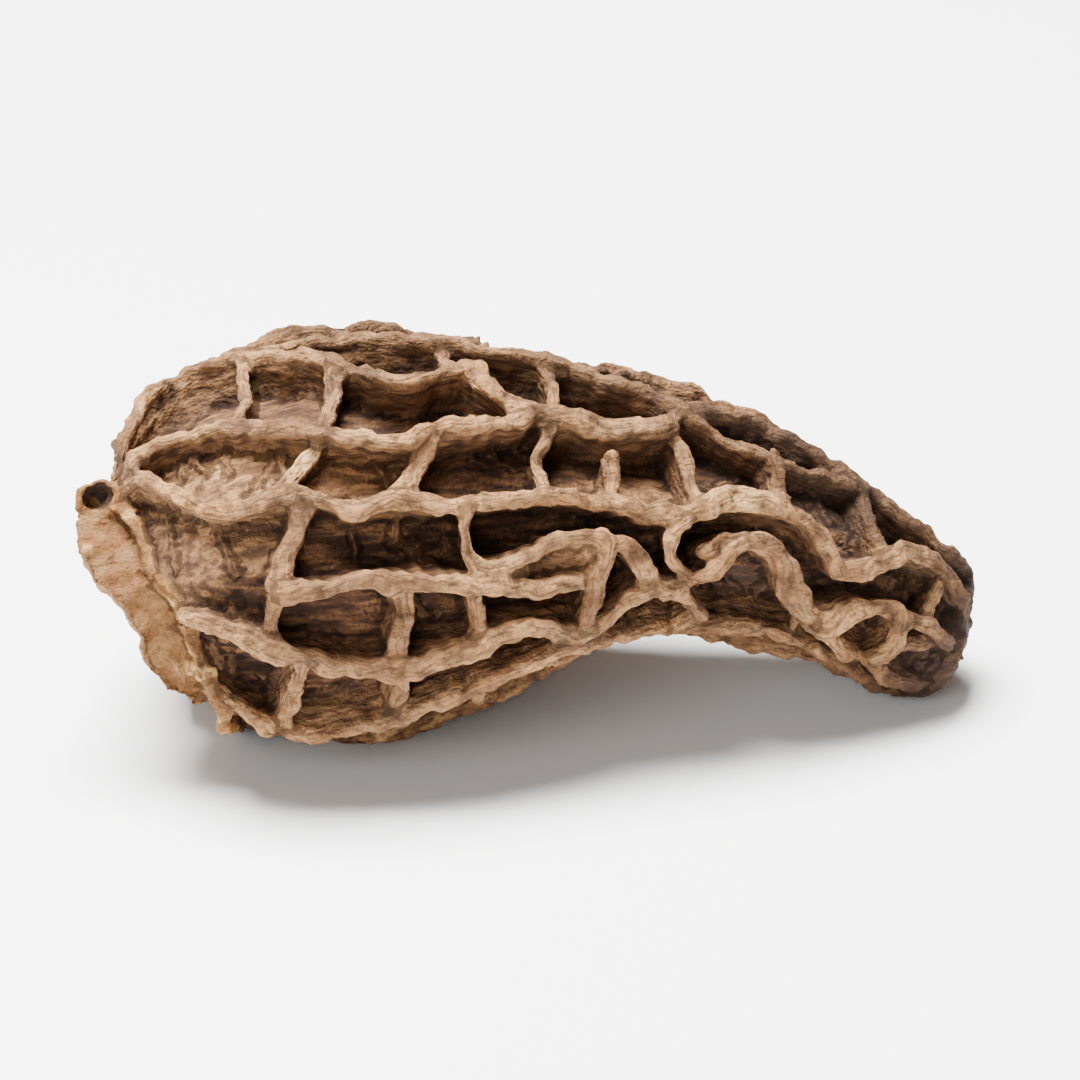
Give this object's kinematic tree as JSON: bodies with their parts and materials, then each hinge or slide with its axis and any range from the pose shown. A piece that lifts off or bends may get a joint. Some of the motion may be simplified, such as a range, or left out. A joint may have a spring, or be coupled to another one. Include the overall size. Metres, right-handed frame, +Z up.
{
  "type": "dried morel mushroom",
  "caption": "Dried morel mushroom lying on its side: a bent, hollow cap with a raised net of ridges round deep pits, a shrivelled tip and a stub of the cut stem.",
  "frame": {"origin": "under the middle of the bounding box, on the surface that the morel lies on", "axes": "+Z up; the cap's long way runs along X, with the cut stem towards -X and the shrivelled tip towards +X; the side seen in the picture faces -Y"},
  "size_m": [0.0342, 0.0174, 0.0153],
  "materials": {
    "dried_flesh": "dull, wrinkled, light tan on the ridges and dark brown in the pits"
  },
  "bodies": {
    "root": {"morel": "dried_flesh"}
  },
  "joints": []
}
